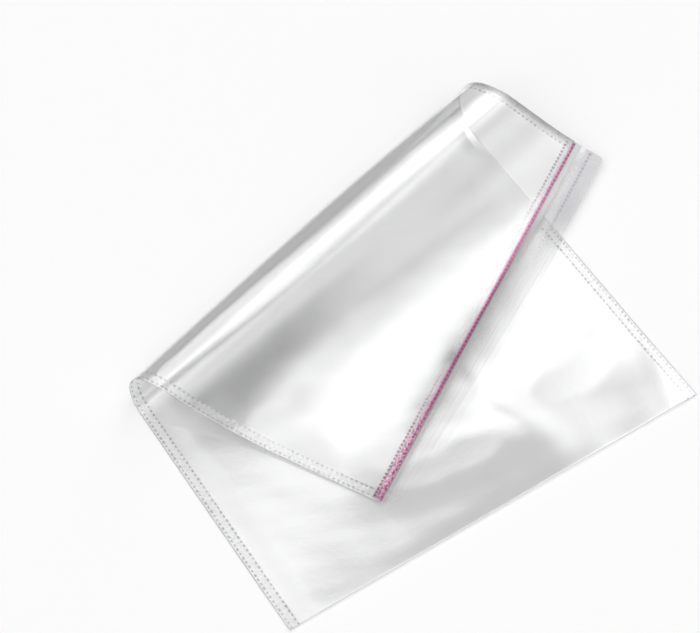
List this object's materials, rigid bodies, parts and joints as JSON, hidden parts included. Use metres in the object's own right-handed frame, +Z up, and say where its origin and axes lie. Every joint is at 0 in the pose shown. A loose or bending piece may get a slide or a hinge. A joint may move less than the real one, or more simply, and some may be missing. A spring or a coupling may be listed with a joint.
{
  "type": "cellophane bag",
  "caption": "Clear flat film bag with welded side seams and a self-sealing flap with a pink liner strip, lying with its top half folded softly over.",
  "frame": {"origin": "on the table, under the middle of the folded bag's bounding box", "axes": "+X along the bag's bottom fold, to the right as the bag is seen from its bottom fold; +Y from the bottom fold towards the curl; +Z up"},
  "size_m": [0.3582, 0.2646, 0.0358],
  "materials": {
    "clear_film": "clear glossy polypropylene film",
    "clear_adhesive": "clear pressure-sensitive adhesive",
    "pink_liner": "thin pink release film"
  },
  "bodies": {
    "root": {"bag_film": "clear_film", "adhesive_strip": "clear_adhesive", "release_liner": "pink_liner"}
  },
  "joints": []
}
